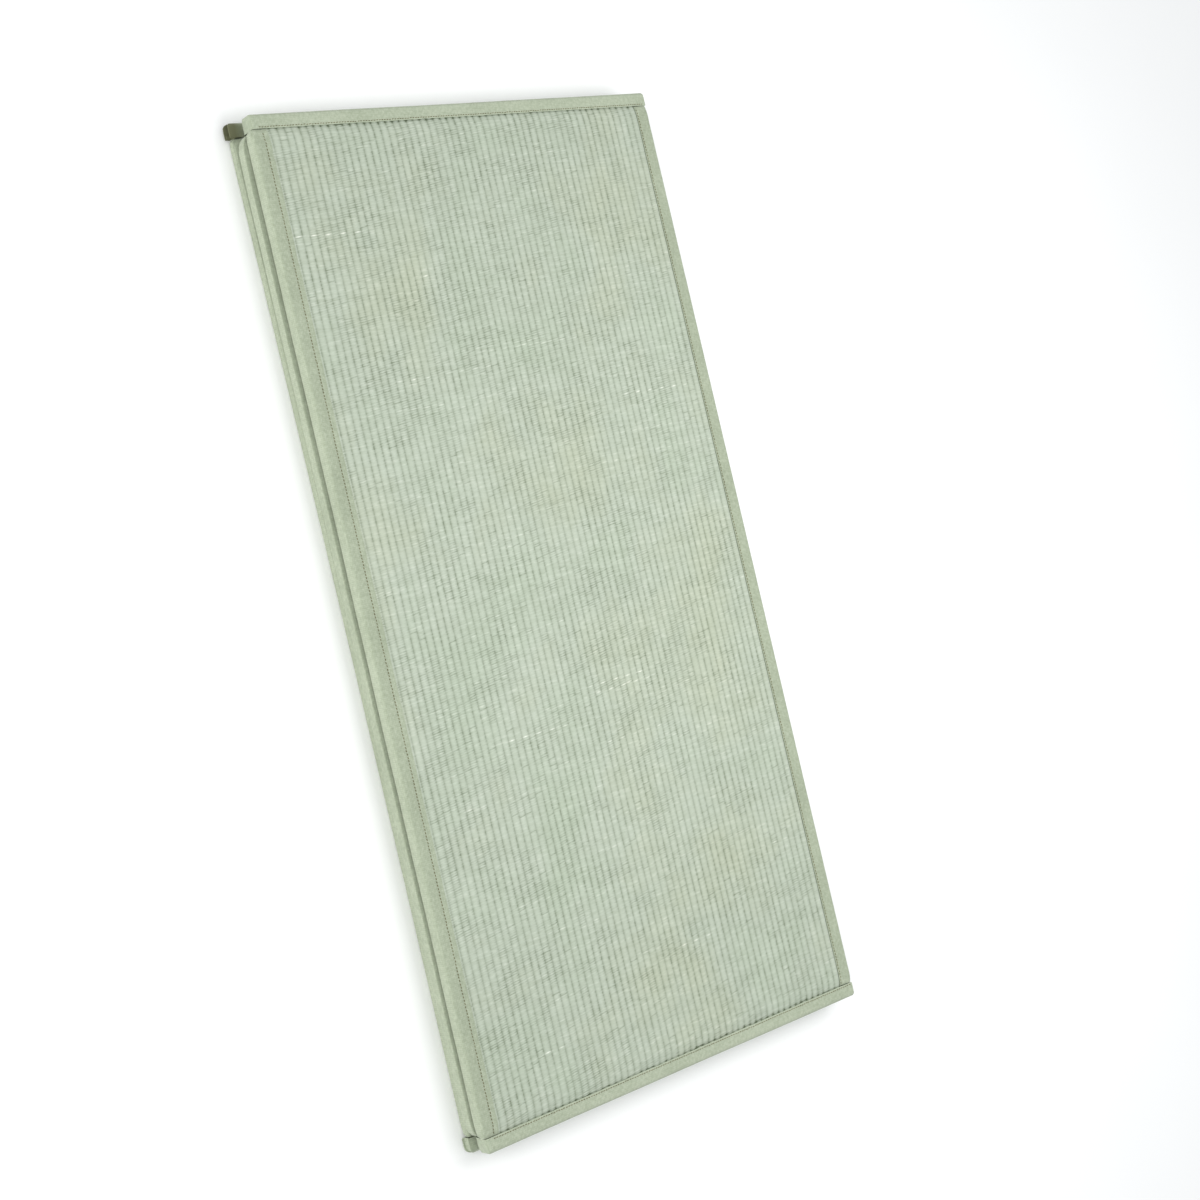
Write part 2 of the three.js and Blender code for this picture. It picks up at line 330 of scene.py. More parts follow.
column_x = [face_left] + [first_groove + rib_pitch * k / 2 for k in range(2 * RIBS)]
column_x = np.array(column_x + [face_right - 2.4, face_right - 1.1, face_right])
column_rib = np.minimum((np.arange(len(column_x)) - 1) // 2 + 1, RIBS)
stalks = int(2 * (LENGTH / 2 - 15) / STALK_STEP) + 1
row_y = (np.arange(stalks) - (stalks - 1) / 2) * STALK_STEP
row_y = row_y + rng.uniform(-0.22, 0.22, stalks)
x, y = np.meshgrid(column_x, row_y)
is_groove = np.broadcast_to(np.arange(len(column_x)) % 2 == 1, x.shape).copy()
is_groove[:, -3:] = [False, True, True]
over = (np.arange(stalks)[:, None] + column_rib[None, :]) % 2 == 0
pieces = (stalks, RIBS + 2)


def patches(seed, across, along):
    """Soft uneven patches from 0 to 1 over the ribs, of about this many ribs and stalks."""
    noise = np.random.default_rng(seed).random((stalks // along + 3, RIBS // across + 4))
    rows, ribs = np.arange(stalks) / along, column_rib / across
    i, j = rows.astype(int), ribs.astype(int)
    u, v = (rows - i)[:, None], (ribs - j)[None, :]
    upper = noise[i][:, j] * (1 - v) + noise[i][:, j + 1] * v
    lower = noise[i + 1][:, j] * (1 - v) + noise[i + 1][:, j + 1] * v
    return upper * (1 - u) + lower * u


def per_piece(values):
    """One value for each stalk in each rib, spread to the columns of that rib."""
    return values[:, column_rib]


small, large, grooves, tints = WEAVE_SEEDS
apart = 0.75 * patches(small, 2, 9) + 0.25 * patches(large, 7, 40)
gap = np.clip(1.9 * apart - 0.4, 0.15, 1.0) * per_piece(rng.uniform(0.45, 1.0, pieces))
gap = np.where(per_piece(rng.random(pieces)) < 0.02, 0.9, gap)
bulk = per_piece(rng.normal(0, 0.05, pieces))
plunge = rng.uniform(0.35, 1.0, x.shape) * (0.6 + 0.4 * patches(grooves, 3, 25))
relief = np.where(is_groove, -GROOVE * plunge, np.where(over, bulk, -VALLEY * gap))
# The last columns go down under the end tape.
relief[:, -3:] = [-0.4, -1.9, -1.9]
sway = 0.9 * np.sin(x / 97 + 0.8 * np.sin(y / 211)) + 0.5 * np.sin(x / 37 + y / 157)
wobble = 0.35 * np.sin(y / 173 + 1.7 * column_rib) + 0.25 * np.sin(y / 61 + 2.9 * column_rib)
wobble[:, -3:] = 0
crown = 0.35 * np.sin(y / 320 + x / 260) + 0.25 * np.sin(x / 90 - y / 500)
height = TOP["low"] + PANEL - dip_at(y) + relief + 0.6 * np.minimum(crown, 0) - 0.25
cover, row, column = grid_piece("rush_cover", np.stack([x + wobble, y + sway, height], -1))

# %% [markdown]
# Each stalk grew in its own tone, and a few are bleached almost white or have darkened. Such a
# stalk shows as a row of dashes, because it dips under every second string.

# %% Tones of the stalks
DASHES = ((0.65, 12), (0.25, 110), (-0.2, 90))  # change of tone, and in how many stalks
tone = rng.normal(0.45, 0.03, stalks)[:, None]
tone = tone + per_piece(rng.normal(0, PIECE_TONE, pieces))
tone += 0.10 * (patches(tints, 1, 14) - 0.5)
for change, count in DASHES:
    for j in rng.choice(stalks, count, replace=False):
        start = rng.integers(0, RIBS)
        run = (column_rib >= start) & (column_rib < start + rng.integers(2, 12))
        share = np.where(is_groove[j], 0.35, over[j] * 1.0)
        tone[j, run] += change * rng.uniform(0.5, 1.0) * share[run]
# Painted shade: the light level is low in the grooves and between the stalks, and the finish
# darkens the weave there.
painted_light_level = np.where(is_groove, 0.42 - 0.40 * plunge, np.where(over, 1.0, 1 - 0.82 * gap))
# Painted shade: the weave right beside the tapes, and under the end tape, gets a low light level,
# as little light reaches it.
teeth = per_piece(rng.uniform(675, 677.5, (1, RIBS + 2)))
painted_light_level -= 0.3 * np.clip((np.abs(y) - teeth) / 2.5, 0, 1)
painted_light_level[:, -2:] = -0.1
for name, values in {"tone": np.clip(tone, 0, 1), "painted_light_level": painted_light_level}.items():
    layer = cover.data.attributes.new(name, "FLOAT", "POINT")
    layer.data.foreach_set("value", values[row, column].astype(np.float32))

ends = np.empty(len(cover.data.edges) * 2, np.int32)
cover.data.edges.foreach_get("vertices", ends)
a, b = ends.reshape(-1, 2).T
in_groove = is_groove[row[a], column[a]] & is_groove[row[b], column[b]]
rib = np.minimum(column_rib[column[a]], column_rib[column[b]])
in_valley = (row[a] == row[b]) & ((row[a] + rib) % 2 == 1)
cover.data.polygons.foreach_set("use_smooth", np.ones(len(cover.data.polygons), bool))
sharp = cover.data.attributes.new("sharp_edge", "BOOLEAN", "EDGE")
sharp.data.foreach_set("value", in_groove | in_valley)
cover.data.update()
print("rush cover:", RIBS, "ribs,", stalks, "stalks,", triangles(cover), "triangles")

# %% [markdown]
# ## The fold bands
# At a fold one strip of cloth is sewn to both panels. It comes over the edge of the upper panel,
# dips into the groove, and goes round the lower one. We bend a flat grid along that path and
# then give it thickness with Solidify. A small table says how wide the groove opens along the
# fold: at the head the panels spring apart, at the foot they lie close. The waves are small
# puckers that sewing leaves, a little larger next to the seam.

# %% Fold bands
SEAM_IN = 18.0
PUCKER, PUCKER_LENGTHS = 0.2, (23, 37, 61, 140)
# Place along the fold: groove radius, slot, and how far the upper and lower edges stand out.
LEFT_FOLD = {
    679: (2.0, 0.3, -1.0, -9.0), 676.5: (2.6, 0.5, 0.2, -4.5), 672: (3.2, 0.7, 0.8, 0.5),
    666: (3.8, 0.9, 1.0, 4.0), 654: (4.2, 1.0, 1.0, 6.2), 600: (4.2, 1.1, 0.9, 6.6),
    470: (4.2, 1.1, 0.8, 6.0), 240: (4.2, 1.0, 0.6, 5.2), 0: (4.2, 1.0, 0.5, 4.6),
    -300: (4.2, 0.9, 0.5, 4.2), -560: (4.2, 0.9, 0.5, 3.8), -654: (4.0, 0.8, 0.4, 3.2),
    -666: (3.6, 0.7, 0.3, 2.0), -672: (3.0, 0.5, 0.1, -0.6), -676.5: (2.4, 0.4, -0.4, -4.5),
    -679: (2.0, 0.3, -1.0, -9.0),
}
RIGHT_FOLD = {
    679: (2.0, 0.3, 0.0, -4.0), 674: (3.4, 0.6, 0.3, -1.0), 666: (4.4, 0.9, 0.6, 0.6),
    350: (4.8, 1.2, 0.9, 1.0), -100: (4.4, 0.9, 0.4, 0.7), -450: (4.9, 1.2, 0.7, 1.1),
    -666: (4.2, 0.9, 0.5, 0.5), -674: (3.2, 0.6, 0.2, -1.0), -679: (2.0, 0.3, 0.0, -4.0),
}


def turned(layer):
    """The same panel seen in a mirror, so one path serves both folds."""
    mirrored = {"left": -layer["right"], "right": -layer["left"], "askew": -layer["askew"]}
    return {**layer, **mirrored, "necks": layer["necks"][::-1]}


def band_path(upper, lower, y, fold):
    """Corners of the band from the upper face, round the fold, to the lower face."""
    groove, slot, upper_out, lower_out = (
        between({place: row[i] for place, row in fold.items()}, y) for i in range(4)
    )
    u_left, _, u_low, u_high = outside(upper, y)
    l_left, _, l_low, l_high = outside(lower, y)
    u_face = upper["left"] + askew_at(upper, y) + BAND_COVER
    l_face = lower["left"] + askew_at(lower, y) + BAND_COVER
    crease = max(u_face, l_face) - BAND_COVER + CREASE
    most = 0.42 * (u_high - u_low)
    edge, groove = min(EDGE_ROUND, most), min(groove, most)
    return [
        (u_face, u_high, 0.1),
        (u_left - upper_out, u_high, edge),
        (u_left - upper_out, u_low + 0.5 * slot, 0.6 * groove),
        (crease, u_low, 0.2),
        (crease, l_high, 0.2),
        (l_left - lower_out, l_high - 2.6 * slot, 0.55 * groove),
        (l_left - lower_out, l_low, edge),
        (l_face, l_low, 0.1),
    ]


def pucker(points, seam_x, seed):
    """Small soft waves along a sewn cloth, deepest beside its seam."""
    waves = np.random.default_rng(seed)
    y = points[:, :, 1]
    near = np.exp(-np.abs(points[:, :, 0] - seam_x) / 12)
    out = points.copy()
    for length in PUCKER_LENGTHS:
        phase = waves.uniform(0, 6.3)
        drift = waves.uniform(-0.12, 0.12)
        wave = np.sin(2 * math.pi * y / length + phase + drift * points[:, :, 0])
        out[:, :, 2] -= PUCKER * (0.25 + 0.75 * near) * (0.5 + 0.5 * wave)
    return out


def seam_dent(points, seam, layer):
    """Presses the cloth of a top leaf down along its line of stitches."""
    away = np.abs(points[:, :, 0] - (layer["left"] + seam))
    on_leaf = points[:, :, 2] > layer["low"] + 0.6 * PANEL
    points[:, :, 2] -= on_leaf * 0.75 * np.exp(-((away / 0.9) ** 2))
    points[:, :, 2] -= on_leaf * 0.30 * np.exp(-((away / 3.5) ** 2))
    return points


def make_band(name, upper, lower, fold, mirror, seed):
    cuts = None
    stations = []
    for y in along_panel(SIDE_COVER + 0.4, 9):
        line, cuts = outline(band_path(upper, lower, y, fold), cuts, 7, 1.2, closed=False)
        swell = 0.5 * math.sin(y / 83 + seed) + 0.35 * math.sin(y / 29 + 2 * seed)
        inward = np.clip((upper["left"] + 14 - line[:, 0]) / 14, 0, 1)
        line[:, 0] -= inward * 0.45 * swell
        stations.append((y, line))
    middle = stations[len(stations) // 2][1]
    cut_width = np.linalg.norm(np.diff(middle, axis=0), axis=1).sum()
    points = pucker(loft_points(stations), upper["left"] + SEAM_IN, seed)
    points = seam_dent(points, SEAM_IN, upper)
    points[:, :, 2] = np.maximum(points[:, :, 2], 0.05)
    if mirror:
        points[:, :, 0] *= -1
    piece = grid_piece(name, points)[0]
    edit(piece, face_outwards)
    return piece, cut_width / 1000


def thicken(piece, inwards_point, thickness=CLOTH - 0.2):
    """Gives a sheet its thickness on the side that faces a point inside it."""
    face = piece.data.polygons[0]
    towards = np.array(inwards_point) / 1000 - np.array(face.center)
    side = -1 if np.dot(towards, face.normal) < 0 else 1
    apply_modifier(
        piece, "SOLIDIFY", thickness=thickness / 1000, offset=side, use_even_offset=False
    )
    smooth(piece, 50)


left_band, left_cut = make_band("left_fold_band", TOP, MIDDLE, LEFT_FOLD, False, 3)
right_band, right_cut = make_band(
    "right_fold_band", turned(MIDDLE), turned(BOTTOM), RIGHT_FOLD, True, 5
)
thicken(left_band, (-330 + OFFSET, -678, TOP["low"] + 9))
thicken(right_band, (328 + OFFSET, -678, MIDDLE["low"] + 9))
bands = {"fold_band_left": (left_band, left_cut), "fold_band_right": (right_band, right_cut)}
for node, (piece, cut) in bands.items():
    print(piece.name, "for", node, "cut", round(1000 * cut), "mm,", triangles(piece), "triangles")

# %% [markdown]
# ## The end tapes
# The two free ends of the mat, one on the top panel and one on the bottom panel, are closed with
# a tape folded round the edge. It is the band's path with one edge only. The bottom one is
# pressed a little thinner by the weight on it, so a narrow dark gap shows above it. The top one
# stays full at its two corners, where nothing presses on it.

# %% End tapes
TAPE_SEAM_IN = TAPE_COVER - 2.2
# How much lower the outer edge is than the face, at these places along the mat.
PRESSED = {700: 6.5, 550: 5.5, 350: 3.5, 0: 1.6, -700: 1.0}
KEPT_FULL = {700: -1.7, 672: -1.1, 655: 0.0, -655: 0.0, -672: -1.1, -700: -1.7}


def make_end_tape(name, layer, mirror, seed, pressed):
    cuts = None
    stations = []
    for y in along_panel(SIDE_COVER + 0.4, 9):
        left, _, low, high = outside(layer, y)
        face = layer["left"] + askew_at(layer, y) + TAPE_COVER
        edge = min(EDGE_ROUND, 0.42 * (high - low))
        thin = between(pressed, y)
        top_edge = min(edge, 0.42 * (high - thin - low))
        corners = [
            (face, high, 0.1), (left, high - thin, top_edge), (left, low, edge), (face, low, 0.1)
        ]
        line, cuts = outline(corners, cuts, 7, 1.5, closed=False)
        stations.append((y, line))
    points = pucker(loft_points(stations), layer["left"] + TAPE_COVER, seed)
    points = seam_dent(points, TAPE_SEAM_IN, layer)
    points[:, :, 2] = np.maximum(points[:, :, 2], layer["low"] + 0.05)
    if mirror:
        points[:, :, 0] *= -1
    piece = grid_piece(name, points)[0]
    edit(piece, face_outwards)
    return piece


end_tapes = {
    "end_tape_top": make_end_tape("top_end_tape", turned(TOP), True, 11, KEPT_FULL),
    "end_tape_bottom": make_end_tape("bottom_end_tape", BOTTOM, False, 13, PRESSED),
}
thicken(end_tapes["end_tape_top"], (330 + OFFSET, -678, TOP["low"] + 9))
thicken(end_tapes["end_tape_bottom"], (-330 + OFFSET, -678, 9))
for node, piece in end_tapes.items():
    print(piece.name, "stands for", node, "with", triangles(piece), "triangles")

# %% [markdown]
# ## The side tapes
# Along each long side of the mat one tape is folded over the edge, and when the mat is folded
# that tape runs back and forth with it: along the top panel, round the left fold, back along
# the middle one, round the right fold and along the bottom one. Seen from the end it is an S.
# We draw that S once, as an outline, carry it from a turned-in hem at the inner edge to the
# rounded outer edge, where it closes up, and fill the last narrow gap. Both free ends of the S
# are open mouths with a thin lip. The lower one at the head stands out of the stack and is turned
# in, and its points are marked for a painted shade that darkens that end to olive.

# %% Side tapes
# How deep the mouths are, and how far the lower free end stands out at the foot.
HEAD_MOUTH, FOOT_MOUTH, TOP_MOUTH, FOOT_END_OUT = 9.0, 2.5, 2.0, 2.5
# Lip of a mouth, radius outside and inside a turn, fit on the panels, and lean of the left turn.
LIP, TURN, TIGHT, SNUG, SLANT = 1.4, 5.0, 2.0, 0.2, 6.0
# The outer edge: how deep its rounding is, how far it closes up, and its rounding in plan.
EDGE_DEEP, EDGE_CLOSE, PLAN_ROUND = 6.2, 6.1, 6.0
# The painted shade reaches this far to the right of the left edge, and fades out over this.
SHADE_WIDE, SHADE_FADE = 12.0, 5.0


def side_corners(y, inset, corner):
    """The S this far along the mat, drawn in by inset, its left end rounded in plan."""
    (t_low, t_high), (m_low, m_high), (b_low, b_high) = [
        (layer["low"] + SIDE_SUNK + inset, layer["low"] + PANEL - SIDE_SUNK - inset)
        for layer in (TOP, MIDDLE, BOTTOM)
    ]
    shift = askew_at(BOTTOM, y)
    left = TOP["left"] + NECK - SNUG + 0.35 * inset + 0.4 * corner
    left_low = left + SLANT - 0.6 * inset
    crease_left = max(TOP["left"] + NECK + SIDE_TURN - inset, left_low + 1.8)
    right = MIDDLE["right"] - NECK + SNUG - inset
    crease_right = MIDDLE["right"] - NECK - SIDE_TURN + inset
    free_top = TOP["right"] - 0.4 - min(inset, 1.2)
    out, mouth = (TAPE_END_OUT, HEAD_MOUTH) if y > 0 else (FOOT_END_OUT, FOOT_MOUTH)
    free_bottom = BOTTOM["left"] + shift - out + inset + corner / 3
    lip = min(LIP, 0.2 * (b_high - b_low))
    turn = min(max(TURN - 0.6 * inset, 0.8), 0.45 * (t_high - t_low))
    tight = max(TIGHT - 0.25 * inset, 0.15)
    rim, nook = min(0.5, 0.4 * lip), min(0.3, 0.4 * lip)
    return [
        (free_bottom, b_low, rim),
        (right + shift, b_low, turn),
        (right, m_high, turn),
        (crease_left, m_high, tight),
        (crease_left, t_low, tight),
        (free_top, t_low, rim),
        (free_top, t_low + lip, nook),
        (free_top - TOP_MOUTH, t_low + lip, nook),
        (free_top - TOP_MOUTH, t_high - lip, nook),
        (free_top, t_high - lip, nook),
        (free_top, t_high, rim),
        (left, t_high, turn),
        (left_low, m_low, turn),
        (crease_right, m_low, tight),
        (crease_right + shift, b_high, tight),
        (free_bottom, b_high, rim),
        (free_bottom, b_high - lip, nook),
        (free_bottom + mouth, b_high - lip, nook),
        (free_bottom + mouth, b_low + lip, nook),
        (free_bottom, b_low + lip, nook),
    ]


def side_rows():
    """Distance from the outer edge, inset and rounding in plan, from the hem outwards."""
    rows = [(15.0, CLOTH), (20.2, CLOTH), (20.8, 1.1), (21.0, 0.55), (20.7, 0.15), (20.0, 0.0)]
    rows += [(d, 0.0) for d in (18.6, 17.8, 17.0, 14.0, 11.0, 8.5)]
    for t in np.radians(np.linspace(10, 90, 9)):
        rows.append((EDGE_DEEP * (1 - math.sin(t)), EDGE_CLOSE * (1 - math.cos(t)) ** 1.1))
    return [(d, inset, PLAN_ROUND * max(0, 1 - d / 13) ** 2) for d, inset in rows]


def close_outer_edge(piece):
    """Fills the narrow gap that is left in the last row of a side tape."""
    edit(piece, merge_doubles, lambda: bpy.ops.mesh.select_all(action="DESELECT"))
    last_row = max(abs(v.co.y) for v in piece.data.vertices) - 0.0012
    for v in piece.data.vertices:
        v.select = abs(v.co.y) > last_row
    bpy.ops.object.mode_set(mode="EDIT")
    bpy.ops.mesh.fill_holes(sides=0)
    face_outwards()
    bpy.ops.object.mode_set(mode="OBJECT")


def mark_painted_shade(piece):
    """Marks the points of the lower free end that get a painted shade."""
    co = np.empty(len(piece.data.vertices) * 3, np.float32)
    piece.data.vertices.foreach_get("co", co)
    x, _, z = 1000 * co.reshape(-1, 3).T
    shade_share = np.clip((TOP["left"] + OFFSET + SHADE_WIDE - x) / SHADE_FADE, 0, 1) * (z < LAYER)
    layer = piece.data.attributes.new("painted_shade", "FLOAT", "POINT")
    layer.data.foreach_set("value", shade_share.astype(np.float32))


def make_side_tape(name, end, seed):
    phases = np.random.default_rng(seed).uniform(0, 6.3, 6)
    cuts = outline(side_corners(end * LENGTH / 2, 0, 0), None, steps=5, longest=9)[1]
    stations = []
    for d, inset, corner in side_rows():
        y = end * (LENGTH / 2 - d)
        plan = corner if end < 0 else 0.3 * corner
        line = outline(side_corners(y, inset, plan), cuts, steps=5, longest=9)[0]
        stations.append((y, np.vstack([line, line[:1]])))
    points = loft_points(stations)
    x = points[:, :, 0]
    outer = np.clip(1 - (LENGTH / 2 - np.abs(points[:, :, 1])) / SIDE_COVER, 0, 1)
    wave = np.sin(x / 6.1 + phases[0]) + np.sin(x / 10.3 + phases[1]) + np.sin(x / 27 + phases[2])
    points[:, :, 1] += end * 0.12 * (1 - outer) * wave
    slow = np.sin(x / 47 + phases[3]) + np.sin(x / 120 + phases[4])
    points[:, :, 1] -= end * 0.25 * outer * (1 + 0.5 * slow)
    piece = grid_piece(name, points)[0]
    close_outer_edge(piece)
    smooth(piece, 50)
    if end > 0:
        mark_painted_shade(piece)
    return piece


side_tapes = {
    "side_tape_head": make_side_tape("head_side_tape", 1, 17),
    "side_tape_foot": make_side_tape("foot_side_tape", -1, 19),
}
for node, piece in side_tapes.items():
    print(piece.name, "stands for", node, "with", triangles(piece), "triangles")

# %% [markdown]
# ## The stitches
# Every cloth is sewn down beside its edge with a plain lock stitch. One stitch is a short bead of
# thread, pressed into the cloth, so we shape one small sphere, repeat it with an Array modifier
# and then set each copy down on the face it was sewn through.

# %% Stitches
STITCH, STITCH_STEP, THREAD = 3.4, 4.4, 1.1
SEAM_END, SEAM_DEEP = 677.0, 1.1


def stitch_row(name, start, end, on_face, seed):
    """Stitches from start to end, (x, y) in millimetres, lying on on_face(x, y)."""
    start, end = np.array(start, float), np.array(end, float)
    count = int(np.linalg.norm(end - start) / STITCH_STEP)
    clear_selection()
    bpy.ops.mesh.primitive_uv_sphere_add(segments=8, ring_count=5, radius=0.5)
    piece = bpy.context.object
    piece.name = piece.data.name = name
    piece.scale = (STITCH, THREAD, THREAD)
    bpy.ops.object.transform_apply(location=False, rotation=False, scale=True)
    apply_modifier(
        piece, "ARRAY", count=count, use_relative_offset=False,
        use_constant_offset=True, constant_offset_displace=(STITCH_STEP, 0, 0),
    )
    co = np.empty(len(piece.data.vertices) * 3, np.float32)
    piece.data.vertices.foreach_get("co", co)
    co = co.reshape(-1, 3).astype(float)
    which = np.rint(co[:, 0] / STITCH_STEP).astype(int)
    stray = np.random.default_rng(seed).normal(0, 0.16, (count, 2))
    along = (end - start) / np.linalg.norm(end - start)
    aside = np.array([-along[1], along[0]])
    slant = 0.10 * (co[:, 0] - which * STITCH_STEP)
    at = start + np.outer(co[:, 0] + 2.5 + stray[which, 0], along)
    at = at + np.outer(co[:, 1] + stray[which, 1] + slant, aside)
    z = on_face(at[:, 0], at[:, 1]) + co[:, 2] + 0.12
    placed = np.column_stack([at[:, 0] + OFFSET, at[:, 1], z]) / 1000
    piece.data.vertices.foreach_set("co", placed.astype(np.float32).ravel())
    piece.data.update()
    smooth(piece, 60)
    return piece


def in_the_dent(x, y):
    return TOP["low"] + PANEL - dip_at(y) - SEAM_DEEP


def on_side_tape(x, y):
    return np.full(len(x), TOP["low"] + PANEL - SIDE_SUNK)


left_x, right_x = TOP["left"] + SEAM_IN, TOP["right"] - TAPE_SEAM_IN
seam_rows = [
    stitch_row("left_seam", (left_x, -SEAM_END), (left_x, SEAM_END), in_the_dent, 21),
    stitch_row("right_seam", (right_x, -SEAM_END), (right_x, SEAM_END), in_the_dent, 22),
    stitch_row("head_seam", (-338, 681.2), (348, 681.2), on_side_tape, 23),
    stitch_row("foot_seam", (-336, -681.6), (348, -681.6), on_side_tape, 24),
]
clear_selection()
for piece in seam_rows:
    piece.select_set(True)
bpy.context.view_layer.objects.active = seam_rows[0]
bpy.ops.object.join()
stitches = bpy.context.object
stitches.name = stitches.data.name = "seam_stitches"
print("stitches:", triangles(stitches), "triangles")

# %% [markdown]
# ## Finishes
# Colours are written as the hex values that a colour picker shows, and one function turns them
# into the linear values that shaders use. Another adds a node with its settings and links. Sizes
# of patterns are in millimetres, and a third function turns them into a texture's scale.

# %% Material helpers


def linear(code):
    channels = [int(code[i : i + 2], 16) / 255 for i in (1, 3, 5)]
    return [c / 12.92 if c <= 0.04045 else ((c + 0.055) / 1.055) ** 2.4 for c in channels] + [1.0]


def per_metre(*millimetres):
    scales = tuple(1000 / mm for mm in millimetres)
    return scales if len(scales) > 1 else scales[0]


def add(tree, kind, links=None, values=None, stops=(), **settings):
    """Adds a node, sets its properties, socket values and colour stops, and links its inputs."""
    made = tree.nodes.new(kind)
    for key, value in settings.items():
        setattr(made, key, value)
    for key, value in (values or {}).items():
        made.inputs[key].default_value = value
    for key, source in (links or {}).items():
        tree.links.new(source, made.inputs[key])
    if stops:
        while len(made.color_ramp.elements) < len(stops):
            made.color_ramp.elements.new(0.5)
        for element, (place, code) in zip(made.color_ramp.elements, stops):
            element.position = place
            element.color = linear(code)
    return made


def new_finish(name):
    finish = bpy.data.materials.new(name)
    finish.use_nodes = True
    finish.node_tree.nodes.clear()
    return finish, finish.node_tree


# %% [markdown]
# ### Woven rush
# Dried soft rush has a waxy skin: pale grey green, a little straw-coloured where it has aged,
# half matt with a faint sheen along the stalk. Each stalk has its own tone, kept on the points.
# Large soft clouds shift it between green and straw. The grooves and the gaps between stalks get
# a painted shade of deeper green, as little light gets in. The fine streaks are the fibres, drawn
# along the stalk.

# %% Rush finish
FIBRE_MM, CLOUD_MM = (11.111, 1.9231, 3.3333), 166.67
rush, tree = new_finish("woven_rush")
place = add(tree, "ShaderNodeTexCoord").outputs["Object"]
tone_of = add(tree, "ShaderNodeAttribute", attribute_name="tone").outputs["Fac"]
painted_light_of = add(tree, "ShaderNodeAttribute", attribute_name="painted_light_level").outputs["Fac"]
streak_place = add(
    tree, "ShaderNodeMapping", {"Vector": place}, {"Scale": per_metre(*FIBRE_MM)}
)
streak = add(
    tree, "ShaderNodeTexNoise", {"Vector": streak_place.outputs["Vector"]},
    {"Scale": 1.0, "Detail": 3.0, "Roughness": 0.6},
).outputs["Fac"]
cloud = add(
    tree, "ShaderNodeTexNoise", {"Vector": place},
    {"Scale": per_metre(CLOUD_MM), "Detail": 3.0, "Roughness": 0.55},
).outputs["Fac"]
streaked = add(
    tree, "ShaderNodeMath", {0: streak, 2: tone_of}, {1: 0.3}, operation="MULTIPLY_ADD"
).outputs[0]
level = add(tree, "ShaderNodeMath", {0: streaked}, {1: 0.15}, operation="SUBTRACT").outputs[0]
stalk_colour = add(
    tree, "ShaderNodeValToRGB", {"Fac": level},
    stops=[
        (0.0, "#959f8b"), (0.3, "#a9b2a0"), (0.5, "#b3bcab"), (0.75, "#c8cebf"), (1.0, "#f0f2e6"),
    ],
)
cloud_colour = add(
    tree, "ShaderNodeValToRGB", {"Fac": cloud},
    stops=[(0.3, "#f9fcf8"), (0.5, "#ffffff"), (0.72, "#fffdf7")],
)
clouded = add(
    tree, "ShaderNodeMix", {6: stalk_colour.outputs[0], 7: cloud_colour.outputs[0]}, {0: 1.0},
    data_type="RGBA", blend_type="MULTIPLY",
)
# Painted shade: where the light level is low, the colour is mixed towards a dark green.
depth = add(tree, "ShaderNodeMath", {1: painted_light_of}, {0: 1.0}, operation="SUBTRACT").outputs[0]
painted_shade_share = add(
    tree, "ShaderNodeMath", {0: depth}, {1: 3.2}, operation="POWER", use_clamp=True
).outputs[0]
shaded = add(
    tree, "ShaderNodeMix", {0: painted_shade_share, 6: clouded.outputs[2]}, {7: linear("#5f6a52")},
    data_type="RGBA",
)
fibre_bump = add(
    tree, "ShaderNodeBump", {"Height": streak}, {"Strength": 0.35, "Distance": 0.0003}
).outputs["Normal"]
surface = add(
    tree, "ShaderNodeBsdfPrincipled", {"Base Color": shaded.outputs[2], "Normal": fibre_bump},
    {"Roughness": 0.58, "Specular IOR Level": 0.3, "Sheen Weight": 0.08, "IOR": 1.45},
)
add(tree, "ShaderNodeOutputMaterial", {"Surface": surface.outputs["BSDF"]})
print("finish:", rush.name)

# %% [markdown]
# ### Cotton tape
# The bands and tapes are a close plain weave of matt cotton, sage green. A real thread is about
# 0.4 mm apart, too fine to show, so it is drawn at 1.3 mm. The weave reads Object coordinates in
# all three directions, so that it lies on the tape's faces and sides alike. Uneven yarn shows as
# small slubs, and washing and handling have left large, faintly paler patches.

# %% Tape finish
SLUB_MM, FADE_MM = 4.1667, 71.43


